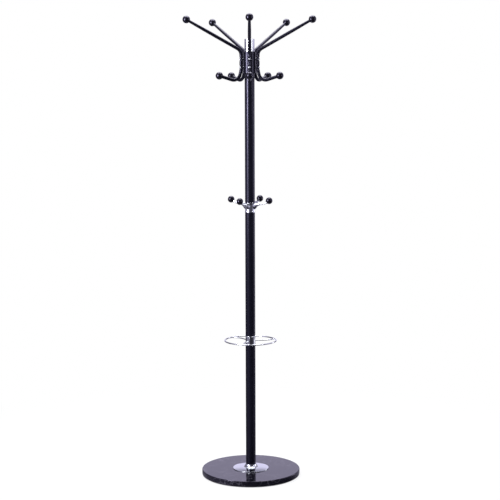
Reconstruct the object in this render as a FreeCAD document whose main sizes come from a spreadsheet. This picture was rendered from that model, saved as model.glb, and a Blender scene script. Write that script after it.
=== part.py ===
import FreeCAD, Part
import math
import os
import Sketcher

# Standing coat rack: a polished stone disc carries a tubular post in three lengths.
# A collar with an umbrella ring and a collar with four short hooks are clamped between
# the lengths, and a hub near the top carries five double-ended arms with ball ends.
# Origin: centre of the underside of the felt. +Z up, -Y is the front. Millimetres, degrees.

SIZES = [
    # felt and stone
    ("felt_thickness", 2.0),
    ("felt_margin", 5.0),
    ("base_diameter", 380.0),
    ("stone_thickness", 22.0),
    ("stone_edge", 3.0),
    ("recess_diameter", 34.0),
    ("recess_depth", 10.0),
    # base bolt and washer
    ("bolt_diameter", 10.0),
    ("bolt_head_width", 16.0),
    ("bolt_head_height", 6.4),
    ("bolt_engagement", 18.0),
    ("bolt_hole", 11.0),
    ("washer_diameter", 30.0),
    ("washer_thickness", 2.5),
    ("thread_gap", 0.1),
    # flared cover on the stone
    ("cover_diameter", 138.0),
    ("cover_sheet", 1.0),
    ("cover_rim", 2.4),
    ("cover_dome", 7.0),
    ("cover_flare", 58.0),
    ("cover_height", 18.0),
    ("cover_turn_in", 0.8),
    ("cover_turn_down", 0.9),
    ("cover_gap", 0.3),
    ("cover_dome_radius", 220.0),
    ("cover_flare_radius", 14.0),
    # post
    ("post_diameter", 38.0),
    ("post_wall", 1.2),
    ("lower_length", 487.0),
    ("middle_length", 478.0),
    ("upper_length", 571.0),
    ("plug_length", 25.0),
    ("plug_gap", 0.1),
    ("spigot_length", 4.0),
    ("spigot_diameter", 24.0),
    ("stud_engagement", 18.0),
    # umbrella collar, ring and spokes
    ("umbrella_collar_height", 37.0),
    ("collar_step", 0.4),
    ("collar_edge", 1.2),
    ("ring_diameter", 197.4),
    ("ring_wire", 5.0),
    ("spoke_wire", 4.4),
    ("spoke_seat", 3.0),
    ("spoke_bevel_share", 0.3),
    ("spoke_gap", 0.1),
    ("spoke_straight", 28.0),
    ("spoke_bend", 60.0),
    ("spoke_swing", 14.0),
    ("spoke_turn", -139.0),
    ("spoke_count", 3),
    # hook collar
    ("hook_collar_height", 38.0),
    ("hook_count", 4),
    ("hook_turn", -27.9),
    ("hook_reach", 81.9),
    ("hook_height", 47.8),
    ("hook_lean", 33.0),
    ("hook_ball", 26.0),
    ("hook_ball_stand", 0.6),
    ("hook_tip", 7.4),
    ("hook_peg", 6.0),
    ("hook_peg_length", 10.0),
    ("hook_root_low", 14.5),
    ("hook_root_high", 37.0),
    ("horn_width", 8.6),
    ("horn_sink", 2.0),
    ("horn_under_reach", 22.6),
    ("horn_under_rise", 13.3),
    ("horn_under_radius", 34.0),
    ("horn_neck", 8.5),
    ("horn_tip_radius", 24.0),
    ("horn_back_length", 24.5),
    ("horn_back_drop", 0.2),
    ("horn_back_radius", 48.0),
    # hub, arm screws and spacers
    ("hub_wall", 4.8),
    ("hub_length", 82.0),
    ("hub_edge", 2.0),
    ("hub_gap", 0.2),
    ("screw_spacing", 31.5),
    ("screw_offset", -3.2),
    ("screw_diameter", 5.0),
    ("screw_clearance", 0.4),
    ("screw_length", 20.5),
    ("screw_head", 8.6),
    ("screw_head_height", 3.0),
    ("screw_side_share", 0.3),
    ("screw_crown_share", 0.72),
    ("spot_gap", 0.2),
    ("screw_point", 0.7),
    ("spacer_diameter", 9.5),
    ("spacer_length", 3.1),
    # arms and their balls
    ("arm_count", 5),
    ("arm_diameter", 12.7),
    ("arm_wall", 1.2),
    ("arm_reach", 245.9),
    ("arm_height", 157.5),
    ("arm_rise", 28.08),
    ("arm_bend", 27.0),
    ("arm_taper_length", 92.0),
    ("arm_tip", 10.4),
    ("low_reach", 119.2),
    ("low_height", -49.7),
    ("low_rise", 17.0),
    ("low_bend", 26.0),
    ("low_sweep", 100.0),
    ("low_sweep_start", -17.0),
    ("ball_diameter", 28.6),
    ("ball_seat", 4.0),
    ("ball_gap", 0.15),
    ("dimple_radius", 12.0),
    ("dimple_depth", 2.6),
    ("dimple_width_share", 0.63),
    ("dimple_sink", 0.02),
    # top tube
    ("top_length", 45.0),
    ("coupler_half", 17.0),
    ("cap_thickness", 1.6),
    ("cap_skirt", 9.0),
    ("cap_edge", 0.8),
]

# Least volume that a cut removes, how near two lengths count as equal, the angle a tilted
# sketch holds until its expression sets it, and the halvings that settle a slope.
LEAST_CUT = 1.0
SAME_LENGTH = 1e-4
FIRST_TILT = 10.0
HALVINGS = 60

doc = FreeCAD.newDocument("coat_rack")
sheet = doc.addObject("Spreadsheet::Sheet", "Sizes")
for row, (alias, number) in enumerate(SIZES, 1):
    sheet.set("A%d" % row, alias)
    sheet.set("B%d" % row, str(number))
    sheet.setAlias("B%d" % row, alias)
doc.recompute()

# Heights and places that several pieces share, worked out from the sheet.
STONE_TOP = "Sizes.felt_thickness + Sizes.stone_thickness"
LOWER_TOP = STONE_TOP + " + Sizes.lower_length"
MIDDLE_BOTTOM = LOWER_TOP + " + Sizes.umbrella_collar_height"
MIDDLE_TOP = MIDDLE_BOTTOM + " + Sizes.middle_length"
UPPER_BOTTOM = MIDDLE_TOP + " + Sizes.hook_collar_height"
UPPER_TOP = UPPER_BOTTOM + " + Sizes.upper_length"
HUB_MIDDLE = UPPER_TOP + " - Sizes.hub_length / 2"
POST_BORE = "Sizes.post_diameter - 2 * Sizes.post_wall"
PLUG_DIAMETER = POST_BORE + " - 2 * Sizes.plug_gap"
THREAD_HOLE = "Sizes.bolt_diameter + 2 * Sizes.thread_gap"
SCREW_HIGH = "Sizes.screw_offset + Sizes.screw_spacing / 2"
SCREW_LOW = "Sizes.screw_offset - Sizes.screw_spacing / 2"
COLLAR_DIAMETER = "(Sizes.post_diameter + 2 * Sizes.collar_step)"
HUB_BORE = "(Sizes.post_diameter + 2 * Sizes.hub_gap)"
HUB_DIAMETER = "(%s + 2 * Sizes.hub_wall)" % HUB_BORE
ARM_AXIS = HUB_DIAMETER + " / 2 + Sizes.spacer_length + Sizes.arm_diameter / 2"
SCREW_SEAT = ARM_AXIS + " + Sizes.arm_diameter / 2 - Sizes.dimple_depth"
# The slanting end of a spoke clears the ring's wire by a share of its own thickness.
RING_INSIDE = "(Sizes.ring_diameter - Sizes.ring_wire) / 2"
SPOKE_REACH = RING_INSIDE + " - Sizes.spoke_bevel_share * Sizes.spoke_wire"


def value(expression):
    """The number that an expression on the sheet comes to."""
    result = sheet.evalExpression(expression)
    return float(getattr(result, "Value", result))


def new_body(label, height="0", turn=0.0):
    """An empty body standing at a height and turned about the post's axis."""
    body = doc.addObject("PartDesign::Body", label)
    body.Label = label
    body.Placement = FreeCAD.Placement(
        FreeCAD.Vector(0, 0, 0), FreeCAD.Rotation(FreeCAD.Vector(0, 0, 1), turn)
    )
    body.setExpression("Placement.Base.z", height)
    return body


def heading(azimuth):
    """Turn that swings a piece drawn towards +X round to an azimuth, 0 being the front."""
    return azimuth - 90.0


def origin_feature(body, role):
    for feature in body.Origin.OriginFeatures:
        if feature.Role == role:
            return feature
    raise RuntimeError("no origin feature " + role)


def new_sketch(body, name, plane, offset=None, tilt=None, tilt_axis=(0, 0, 1)):
    """A sketch on one of the body's planes, moved by expressions and tilted about an axis."""
    sketch = body.newObject("Sketcher::SketchObject", name)
    sketch.AttachmentSupport = [(origin_feature(body, plane), "")]
    sketch.MapMode = "FlatFace"
    if tilt is not None:
        sketch.AttachmentOffset = FreeCAD.Placement(
            FreeCAD.Vector(0, 0, 0), FreeCAD.Rotation(FreeCAD.Vector(*tilt_axis), FIRST_TILT)
        )
        sketch.setExpression("AttachmentOffset.Rotation.Angle", tilt)
    for letter, expression in zip("xyz", offset or ()):
        sketch.setExpression("AttachmentOffset.Base." + letter, expression)
    return sketch


def drive(sketch, name, expression, kind, *elements):
    """A named dimension of a sketch, bound to an expression."""
    number = value(expression)
    if kind == "Angle":
        number = math.radians(number)
    index = sketch.addConstraint(Sketcher.Constraint(kind, *elements, number))
    sketch.renameConstraint(index, name)
    sketch.setExpression("Constraints." + name, expression)


def pin_point(sketch, name, geometry, position, x, y):
    """Hold a point of the sketch at the coordinates that two expressions give."""
    drive(sketch, name + "_x", x, "DistanceX", geometry, position)
    drive(sketch, name + "_y", y, "DistanceY", geometry, position)


def circle(sketch, name, diameter, x="0", y="0"):
    centre = FreeCAD.Vector(value(x), value(y), 0)
    geometry = sketch.addGeometry(
        Part.Circle(centre, FreeCAD.Vector(0, 0, 1), value(diameter) / 2)
    )
    drive(sketch, name + "_d", diameter, "Diameter", geometry)
    pin_point(sketch, name, geometry, 3, x, y)
    return geometry


def arc_through(start, end, radius, side):
    """Arc from start to end; side +1 turns left (anticlockwise) and -1 turns right."""
    chord = end - start
    rise = math.sqrt(max(radius ** 2 - (chord.Length / 2) ** 2, 0.0))
    left = FreeCAD.Vector(-chord.y, chord.x, 0).normalize()
    centre = (start + end) * 0.5 + left * (rise * side)
    first, last = (start, end) if side > 0 else (end, start)
    begin = math.atan2(first.y - centre.y, first.x - centre.x)
    finish = math.atan2(last.y - centre.y, last.x - centre.x)
    if finish <= begin:
        finish += 2 * math.pi
    base = Part.Circle(centre, FreeCAD.Vector(0, 0, 1), radius)
    return Part.ArcOfCircle(base, begin, finish)


def outline(sketch, points, arcs=None):
    """Closed outline through points given as expressions.

    arcs maps the number of a side to its radius and the way it turns; others are straight.
    """
    arcs = arcs or {}
    places = [FreeCAD.Vector(value(x), value(y), 0) for x, y in points]
    ends = []
    for index, start in enumerate(places):
        end = places[(index + 1) % len(places)]
        if index in arcs:
            radius, side = arcs[index]
            geometry = sketch.addGeometry(arc_through(start, end, value(radius), side))
            drive(sketch, "radius%d" % index, radius, "Radius", geometry)
            ends.append((geometry, 1, 2) if side > 0 else (geometry, 2, 1))
        else:
            geometry = sketch.addGeometry(Part.LineSegment(start, end))
            ends.append((geometry, 1, 2))
    for index, (geometry, first, last) in enumerate(ends):
        following = ends[(index + 1) % len(ends)]
        sketch.addConstraint(
            Sketcher.Constraint("Coincident", geometry, last, following[0], following[1])
        )
        pin_point(sketch, "point%d" % index, geometry, first, *points[index])


def pad(body, name, sketch, length, symmetric=False):
    feature = body.newObject("PartDesign::Pad", name)
    feature.Profile = sketch
    feature.SideType = "Symmetric" if symmetric else "One side"
    feature.setExpression("Length", length)
    return feature


def pocket(body, name, sketch, length, symmetric=False, reverse=False):
    feature = body.newObject("PartDesign::Pocket", name)
    feature.Profile = sketch
    feature.SideType = "Symmetric" if symmetric else "One side"
    feature.Reversed = reverse
    feature.setExpression("Length", length)
    return feature


def revolve(body, name, sketch, axis="V_Axis"):
    feature = body.newObject("PartDesign::Revolution", name)
    feature.Profile = sketch
    feature.ReferenceAxis = (sketch, [axis])
    feature.Angle = 360.0
    return feature


def around(body, name, features, count):
    """Repeat features evenly round the post's axis."""
    pattern = body.newObject("PartDesign::PolarPattern", name)
    pattern.Originals = features
    pattern.Axis = (origin_feature(body, "Z_Axis"), [""])
    pattern.Angle = 360.0
    pattern.setExpression("Occurrences", count)
    body.Tip = pattern
    return pattern


def sweep(body, name, profile, path):
    feature = body.newObject("PartDesign::AdditivePipe", name)
    feature.Profile = profile
    feature.Spine = (path, [])
    return feature


def disc(body, name, diameter, length, hole=None):
    """A round pad standing on the body's XY plane, with a round hole if one is given."""
    sketch = new_sketch(body, name + "_outline", "XY_Plane")
    circle(sketch, "rim", diameter)
    if hole:
        circle(sketch, "hole", hole)
    return pad(body, name, sketch, length)


def round_edges(body, name, feature, radius, heights, radius_on_plan):
    """Fillet the circular edges of a feature at the given heights and plan radius."""
    doc.recompute()
    names = []
    for index, edge in enumerate(feature.Shape.Edges, 1):
        ring = isinstance(edge.Curve, Part.Circle)
        if not ring or abs(edge.Curve.Radius - radius_on_plan) > SAME_LENGTH:
            continue
        level = feature.Shape.Placement.inverse().multVec(edge.Curve.Center).z
        if min(abs(level - height) for height in heights) < SAME_LENGTH:
            names.append("Edge%d" % index)
    fillet = body.newObject("PartDesign::Fillet", name)
    fillet.Base = (feature, names)
    fillet.setExpression("Radius", radius)
    return fillet


# ---------------------------------------------------------------- base


def make_felt():
    """Felt disc glued under the stone; it also covers the bolt's recess."""
    body = new_body("base_felt")
    disc(body, "felt", "Sizes.base_diameter - 2 * Sizes.felt_margin", "Sizes.felt_thickness")


def make_stone():
    """Polished disc with eased edges, a through hole and a recess for the bolt head."""
    body = new_body("base_stone", "Sizes.felt_thickness")
    disc(body, "slab", "Sizes.base_diameter", "Sizes.stone_thickness", "Sizes.bolt_hole")
    sketch = new_sketch(body, "recess_outline", "XY_Plane")
    circle(sketch, "recess", "Sizes.recess_diameter")
    recess = pocket(body, "recess", sketch, "Sizes.recess_depth", reverse=True)
    levels = (0.0, value("Sizes.stone_thickness"))
    round_edges(
        body, "eased_edges", recess, "Sizes.stone_edge", levels, value("Sizes.base_diameter / 2")
    )


def make_base_bolt():
    """Hexagon bolt that comes up through the stone into the foot of the post."""
    head_seat = "Sizes.felt_thickness + Sizes.recess_depth - Sizes.washer_thickness"
    body = new_body("base_bolt", head_seat + " - Sizes.bolt_head_height")
    sketch = new_sketch(body, "hexagon", "XY_Plane")
    side = "Sizes.bolt_head_width / sqrt(3)"
    corners = []
    for corner in range(6):
        angle = "%ddeg" % (60 * corner)
        corners.append(("(%s) * cos(%s)" % (side, angle), "(%s) * sin(%s)" % (side, angle)))
    outline(sketch, corners)
    pad(body, "head", sketch, "Sizes.bolt_head_height")
    shank = new_sketch(body, "shank_outline", "XY_Plane", ("0", "0", "Sizes.bolt_head_height"))
    circle(shank, "shank", "Sizes.bolt_diameter")
    web = "Sizes.stone_thickness - Sizes.recess_depth"
    pad(body, "shank", shank, "Sizes.washer_thickness + %s + Sizes.bolt_engagement" % web)


def make_base_washer():
    height = "Sizes.felt_thickness + Sizes.recess_depth - Sizes.washer_thickness"
    body = new_body("base_washer", height)
    disc(body, "washer", "Sizes.washer_diameter", "Sizes.washer_thickness", "Sizes.bolt_hole")


def make_base_cover():
    """Spun chrome cover: turned-down rim, low dome and a neck flaring up to the post."""
    body = new_body("base_cover", STONE_TOP)
    sketch = new_sketch(body, "section", "XZ_Plane")
    sheet_metal = "Sizes.cover_sheet"
    rim = "Sizes.cover_diameter / 2"
    flare = "Sizes.cover_flare / 2"
    neck_bore = "Sizes.post_diameter / 2 + Sizes.cover_gap"
    points = [
        (rim, "0"),
        (rim, "Sizes.cover_rim"),
        (flare, "Sizes.cover_dome"),
        (neck_bore + " + " + sheet_metal, "Sizes.cover_height"),
        (neck_bore, "Sizes.cover_height"),
        (flare + " - Sizes.cover_turn_in", "Sizes.cover_dome - Sizes.cover_turn_down"),
        (rim + " - " + sheet_metal, "Sizes.cover_rim - " + sheet_metal),
        (rim + " - " + sheet_metal, "0"),
    ]
    arcs = {
        1: ("Sizes.cover_dome_radius", 1),
        2: ("Sizes.cover_flare_radius", -1),
        4: ("Sizes.cover_flare_radius + " + sheet_metal, 1),
        5: ("Sizes.cover_dome_radius - " + sheet_metal, -1),
    }
    outline(sketch, points, arcs)
    revolve(body, "spun_sheet", sketch)


# ---------------------------------------------------------------- post


def make_tube(label, height, length):
    body = new_body(label, height, heading(0))
    return body, disc(body, "tube", "Sizes.post_diameter", length, POST_BORE)


def make_foot_plug():
    """Threaded plug pressed flush into the foot of the post."""
    body = new_body("foot_plug", STONE_TOP)
    disc(body, "plug", PLUG_DIAMETER, "Sizes.plug_length", THREAD_HOLE)


def make_end_plug(label, face, points_up):
    """Threaded plug in a tube end, with a spigot that centres the collar beyond it."""
    body = new_body(label, face)
    sketch = new_sketch(body, "section", "XZ_Plane")
    sign = "1" if points_up else "-1"
    bore = "(%s) / 2" % THREAD_HOLE
    spigot = "Sizes.spigot_diameter / 2 - Sizes.plug_gap"
    points = [
        (bore, "-%s * Sizes.plug_length" % sign),
        ("(%s) / 2" % PLUG_DIAMETER, "-%s * Sizes.plug_length" % sign),
        ("(%s) / 2" % PLUG_DIAMETER, "0"),
        (spigot, "0"),
        (spigot, "%s * Sizes.spigot_length" % sign),
        (bore, "%s * Sizes.spigot_length" % sign),
    ]
    outline(sketch, points)
    revolve(body, "plug", sketch)


def make_stud(label, height, collar_height):
    """Threaded stud that draws two lengths of post together through a collar."""
    body = new_body(label, height + " - Sizes.stud_engagement")
    length = "%s + 2 * Sizes.stud_engagement" % collar_height
    disc(body, "stud", "Sizes.bolt_diameter", length)


def make_upper_tube():
    """Upper length of the post, drilled for the tips of the arm screws."""
    body, tube = make_tube("post_upper_tube", UPPER_BOTTOM, "Sizes.upper_length")
    middle = "Sizes.upper_length - Sizes.hub_length / 2"
    drill_for_screws(body, tube, middle, "Sizes.screw_diameter + 2 * Sizes.screw_clearance")


def drill_for_screws(body, before, middle, diameter):
    """Two radial holes at the screw heights, repeated for every arm."""
    sketch = new_sketch(body, "screw_holes", "YZ_Plane")
    circle(sketch, "high", diameter, "0", middle + " + " + SCREW_HIGH)
    circle(sketch, "low", diameter, "0", middle + " + " + SCREW_LOW)
    holes = pocket(body, "holes", sketch, HUB_DIAMETER, reverse=True)
    pattern = around(body, "holes_round", [holes], "Sizes.arm_count")
    doc.recompute()
    if pattern.Shape.Volume > before.Shape.Volume - LEAST_CUT:
        raise RuntimeError(body.Label + ": the screw holes cut nothing")


# ---------------------------------------------------------------- umbrella ring


def make_umbrella_collar():
    """Chromed ring between two lengths of post, drilled part way for the spokes."""
    body = new_body("umbrella_collar", LOWER_TOP, heading(value("Sizes.spoke_turn")))
    height = "Sizes.umbrella_collar_height"
    collar = disc(body, "collar", COLLAR_DIAMETER, height, "Sizes.spigot_diameter")
    seat = COLLAR_DIAMETER + " / 2 - Sizes.spoke_seat"
    sketch = new_sketch(body, "spoke_hole", "YZ_Plane", ("0", "0", seat))
    circle(sketch, "hole", "Sizes.spoke_wire + 2 * Sizes.spoke_gap", "0", height + " / 2")
    hole = pocket(body, "seat", sketch, "2 * Sizes.spoke_seat", reverse=True)
    pattern = around(body, "seats", [hole], "Sizes.spoke_count")
    levels = (0.0, value(height))
    round_edges(
        body, "rolled_edges", pattern, "Sizes.collar_edge", levels,
        value(COLLAR_DIAMETER + " / 2"),
    )
    if pattern.Shape.Volume > collar.Shape.Volume - LEAST_CUT:
        raise RuntimeError("the spoke seats cut nothing")


def make_umbrella_ring():
    body = new_body("umbrella_ring", LOWER_TOP + " + Sizes.umbrella_collar_height / 2")
    sketch = new_sketch(body, "wire", "XZ_Plane")
    circle(sketch, "wire", "Sizes.ring_wire", "Sizes.ring_diameter / 2")
    revolve(body, "ring", sketch)


def make_spoke(index):
    """S-bent wire from its seat in the collar to the inside of the ring."""
    turn = value("Sizes.spoke_turn") + index * 360.0 / value("Sizes.spoke_count")
    height = LOWER_TOP + " + Sizes.umbrella_collar_height / 2"
    body = new_body("umbrella_spoke_%d" % (index + 1), height, heading(turn))
    root = COLLAR_DIAMETER + " / 2 - Sizes.spoke_seat + Sizes.spoke_gap"
    wire = new_sketch(body, "wire", "YZ_Plane", ("0", "0", root))
    circle(wire, "wire", "Sizes.spoke_wire")
    path = new_sketch(body, "path", "XY_Plane")
    start = FreeCAD.Vector(value(root), 0, 0)
    bend_start = FreeCAD.Vector(value("Sizes.spoke_straight"), 0, 0)
    radius = value("Sizes.spoke_bend")
    swing = math.radians(value("Sizes.spoke_swing"))
    middle = bend_start + FreeCAD.Vector(math.sin(swing), math.cos(swing) - 1, 0) * radius
    reach = value(SPOKE_REACH)
    centre = middle + FreeCAD.Vector(math.sin(swing), math.cos(swing), 0) * radius
    end_turn = spoke_end_turn(centre, radius, reach)
    end = centre + FreeCAD.Vector(math.sin(end_turn), -math.cos(end_turn), 0) * radius
    straight = path.addGeometry(Part.LineSegment(start, bend_start))
    first = path.addGeometry(arc_through(bend_start, middle, radius, -1))
    second = path.addGeometry(arc_through(middle, end, radius, 1))
    pin_point(path, "root", straight, 1, root, "0")
    pin_point(path, "bend", straight, 2, "Sizes.spoke_straight", "0")
    path.addConstraint(Sketcher.Constraint("Tangent", straight, 2, first, 2))
    path.addConstraint(Sketcher.Constraint("Tangent", first, 1, second, 1))
    drive(path, "first_radius", "Sizes.spoke_bend", "Radius", first)
    drive(path, "second_radius", "Sizes.spoke_bend", "Radius", second)
    drive(path, "swing", "Sizes.spoke_straight + Sizes.spoke_bend * sin(Sizes.spoke_swing * 1deg)",
          "DistanceX", first, 1)
    drive(path, "reach", SPOKE_REACH, "Distance", -1, 1, second, 2)
    sweep(body, "spoke", wire, path)


def spoke_end_turn(centre, radius, reach):
    """Heading at which the second bend comes to the given distance from the post's axis."""
    low, high = 0.0, math.pi / 2
    for _ in range(HALVINGS):
        turn = (low + high) / 2
        place = centre + FreeCAD.Vector(math.sin(turn), -math.cos(turn), 0) * radius
        low, high = (turn, high) if place.Length < reach else (low, turn)
    return low


# ---------------------------------------------------------------- hook collar


def hook_frame():
    """Where the horn stops: just outside the ball, on the line of its peg."""
    stand = "(Sizes.hook_ball / 2 + Sizes.hook_ball_stand)"
    along = "Sizes.hook_reach - %s * cos(Sizes.hook_lean * 1deg)" % stand
    up = "Sizes.hook_height - %s * sin(Sizes.hook_lean * 1deg)" % stand
    return along, up


def make_hook_collar():
    """Chromed casting: a collar with four curved horns, each with a threaded peg."""
    body = new_body("hook_collar", MIDDLE_TOP, heading(value("Sizes.hook_turn")))
    disc(body, "blank", COLLAR_DIAMETER, "Sizes.hook_collar_height")
    root = COLLAR_DIAMETER + " / 2 - Sizes.horn_sink"
    along, up = hook_frame()
    tip = "Sizes.hook_tip / 2"
    across = "%s * sin(Sizes.hook_lean * 1deg)" % tip
    rise = "%s * cos(Sizes.hook_lean * 1deg)" % tip
    points = [
        (root, "Sizes.hook_root_low"),
        (root + " + Sizes.horn_under_reach", "Sizes.hook_root_low + Sizes.horn_under_rise"),
        (along + " - Sizes.horn_neck", up + " - Sizes.hook_tip"),
        (along + " + " + across, up + " - " + rise),
        (along + " - " + across, up + " + " + rise),
        (along + " - Sizes.horn_back_length", up + " - Sizes.horn_back_drop"),
        (root, "Sizes.hook_root_high"),
    ]
    arcs = {
        0: ("Sizes.horn_under_radius", -1),
        2: ("Sizes.horn_tip_radius", 1),
        4: ("Sizes.horn_back_radius", -1),
    }
    side_view = new_sketch(body, "horn_outline", "XZ_Plane")
    outline(side_view, points, arcs)
    horn = pad(body, "horn", side_view, "Sizes.horn_width", symmetric=True)
    peg_outline = new_sketch(
        body, "peg_outline", "YZ_Plane", ("0", up, along), "-Sizes.hook_lean * 1deg", (1, 0, 0)
    )
    circle(peg_outline, "peg", "Sizes.hook_peg")
    peg = pad(body, "peg", peg_outline, "Sizes.hook_peg_length")
    around(body, "horns", [horn, peg], "Sizes.hook_count")
    bore_outline = new_sketch(body, "bore_outline", "XY_Plane")
    circle(bore_outline, "bore", "Sizes.spigot_diameter")
    pocket(body, "bore", bore_outline, "Sizes.hook_collar_height", reverse=True)


def make_ball(label, height, turn, reach, rise, lean, diameter, socket, seat):
    """Ball with a blind socket that takes the end of an arm or peg.

    The sketch's x axis runs along the arm and out through the ball's centre.
    """
    body = new_body(label, height, heading(turn))
    sketch = new_sketch(body, "section", "XZ_Plane", (reach, rise, "0"), "(%s) * 1deg" % lean)
    radius = "(%s) / 2" % diameter
    mouth = "-sqrt((%s)^2 - (%s)^2)" % (radius, socket)
    points = [
        (mouth, socket),
        (seat, socket),
        (seat, "0"),
        (radius, "0"),
    ]
    outline(sketch, points, {3: (radius, 1)})
    revolve(body, "ball", sketch, "H_Axis")


def make_hook_ball(index):
    turn = value("Sizes.hook_turn") + index * 360.0 / value("Sizes.hook_count")
    make_ball(
        "hook_ball_%d" % (index + 1), MIDDLE_TOP, turn, "Sizes.hook_reach", "Sizes.hook_height",
        "Sizes.hook_lean", "Sizes.hook_ball", "Sizes.hook_peg / 2 + Sizes.ball_gap",
        "Sizes.hook_peg_length + Sizes.ball_gap - Sizes.hook_ball_stand - Sizes.hook_ball / 2",
    )


# ---------------------------------------------------------------- hub and arms


def make_hub():
    """Thick sleeve over the top of the post, tapped for the arm screws."""
    body = new_body("hub_sleeve", UPPER_TOP + " - Sizes.hub_length", heading(0))
    sleeve = disc(body, "sleeve", HUB_DIAMETER, "Sizes.hub_length", HUB_BORE)
    tapped = "Sizes.screw_diameter + 2 * Sizes.thread_gap"
    drill_for_screws(body, sleeve, "Sizes.hub_length / 2", tapped)
    levels = (0.0, value("Sizes.hub_length"))
    outside = value(HUB_DIAMETER + " / 2")
    round_edges(body, "rounded_ends", body.Tip, "Sizes.hub_edge", levels, outside)


def arm_profile(body):
    """Ring section of the arm's tube, where it stands upright beside the hub."""
    sketch = new_sketch(body, "tube_section", "XY_Plane")
    circle(sketch, "outside", "Sizes.arm_diameter", ARM_AXIS)
    circle(sketch, "inside", "Sizes.arm_diameter - 2 * Sizes.arm_wall", ARM_AXIS)
    return sketch


def upper_path(body):
    """Up beside the hub, round the bend and straight out to where the tube tapers."""
    sketch = new_sketch(body, "upper_path", "XZ_Plane")
    end_x = "Sizes.arm_reach - Sizes.arm_taper_length * cos(Sizes.arm_rise * 1deg)"
    end_y = "Sizes.arm_height - Sizes.arm_taper_length * sin(Sizes.arm_rise * 1deg)"
    rise = math.radians(value("Sizes.arm_rise"))
    axis = value(ARM_AXIS)
    radius = value("Sizes.arm_bend")
    corner = value(end_y) - (value(end_x) - axis) * math.tan(rise)
    trim = radius * math.tan((math.pi / 2 - rise) / 2)
    start = FreeCAD.Vector(axis, 0, 0)
    bend_in = FreeCAD.Vector(axis, corner - trim, 0)
    bend_out = FreeCAD.Vector(axis + trim * math.cos(rise), corner + trim * math.sin(rise), 0)
    end = FreeCAD.Vector(value(end_x), value(end_y), 0)
    upright = sketch.addGeometry(Part.LineSegment(start, bend_in))
    bend = sketch.addGeometry(arc_through(bend_in, bend_out, radius, -1))
    leg = sketch.addGeometry(Part.LineSegment(bend_out, end))
    pin_point(sketch, "start", upright, 1, ARM_AXIS, "0")
    sketch.addConstraint(Sketcher.Constraint("Vertical", upright))
    sketch.addConstraint(Sketcher.Constraint("Tangent", upright, 2, bend, 2))
    sketch.addConstraint(Sketcher.Constraint("Tangent", bend, 1, leg, 1))
    drive(sketch, "bend", "Sizes.arm_bend", "Radius", bend)
    pin_point(sketch, "end", leg, 2, end_x, end_y)
    return sketch


def lower_path(body):
    """Down beside the hub, easing outwards, round the crook and up to the low ball."""
    sketch = new_sketch(body, "lower_path", "XZ_Plane")
    end_x = "Sizes.low_reach - Sizes.ball_seat * cos(Sizes.low_rise * 1deg)"
    end_y = "Sizes.low_height - Sizes.ball_seat * sin(Sizes.low_rise * 1deg)"
    rise = math.radians(value("Sizes.low_rise"))
    axis = value(ARM_AXIS)
    crook = value("Sizes.low_bend")
    sweep_radius = value("Sizes.low_sweep")
    sweep_in = FreeCAD.Vector(axis, value("Sizes.low_sweep_start"), 0)
    sweep_centre = sweep_in + FreeCAD.Vector(sweep_radius, 0, 0)
    end = FreeCAD.Vector(value(end_x), value(end_y), 0)
    crook_centre = crook_place(end, rise, crook, sweep_centre, sweep_radius)
    join = crook_centre + (crook_centre - sweep_centre).normalize() * crook
    foot = crook_centre + FreeCAD.Vector(math.sin(rise), -math.cos(rise), 0) * crook
    start = FreeCAD.Vector(axis, 0, 0)
    upright = sketch.addGeometry(Part.LineSegment(start, sweep_in))
    easing = sketch.addGeometry(arc_through(sweep_in, join, sweep_radius, 1))
    bend = sketch.addGeometry(arc_through(join, foot, crook, 1))
    leg = sketch.addGeometry(Part.LineSegment(foot, end))
    pin_point(sketch, "start", upright, 1, ARM_AXIS, "0")
    pin_point(sketch, "ease", upright, 2, ARM_AXIS, "Sizes.low_sweep_start")
    sketch.addConstraint(Sketcher.Constraint("Tangent", upright, 2, easing, 1))
    sketch.addConstraint(Sketcher.Constraint("Tangent", easing, 2, bend, 1))
    sketch.addConstraint(Sketcher.Constraint("Tangent", bend, 2, leg, 1))
    drive(sketch, "ease_radius", "Sizes.low_sweep", "Radius", easing)
    drive(sketch, "crook", "Sizes.low_bend", "Radius", bend)
    drive(sketch, "rise", "Sizes.low_rise * 1deg", "Angle", leg)
    pin_point(sketch, "end", leg, 2, end_x, end_y)
    return sketch


def crook_place(end, rise, crook, sweep_centre, sweep_radius):
    """Centre of the crook: one radius above the leg and touching the easing arc inside."""
    direction = FreeCAD.Vector(math.cos(rise), math.sin(rise), 0)
    anchor = end + FreeCAD.Vector(-math.sin(rise), math.cos(rise), 0) * crook
    reach = sweep_radius - crook
    offset = anchor - sweep_centre
    half = offset.dot(direction)
    root = math.sqrt(half ** 2 - offset.Length ** 2 + reach ** 2)
    return anchor + direction * (-half - root)


def taper_outline(body):
    """Half section of the drawn-down end, seen along the straight leg towards the ball."""
    sketch = new_sketch(
        body, "taper_section", "XZ_Plane", ("Sizes.arm_reach", "Sizes.arm_height", "0"),
        "Sizes.arm_rise * 1deg",
    )
    full = "Sizes.arm_diameter / 2"
    tip = "Sizes.arm_tip / 2"
    points = [
        ("-Sizes.arm_taper_length", full + " - Sizes.arm_wall"),
        ("-Sizes.arm_taper_length", full),
        ("-Sizes.ball_diameter / 2", tip),
        ("-Sizes.ball_seat", tip),
        ("-Sizes.ball_seat", tip + " - Sizes.arm_wall"),
        ("-Sizes.ball_diameter / 2", tip + " - Sizes.arm_wall"),
    ]
    outline(sketch, points)
    return sketch


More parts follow.
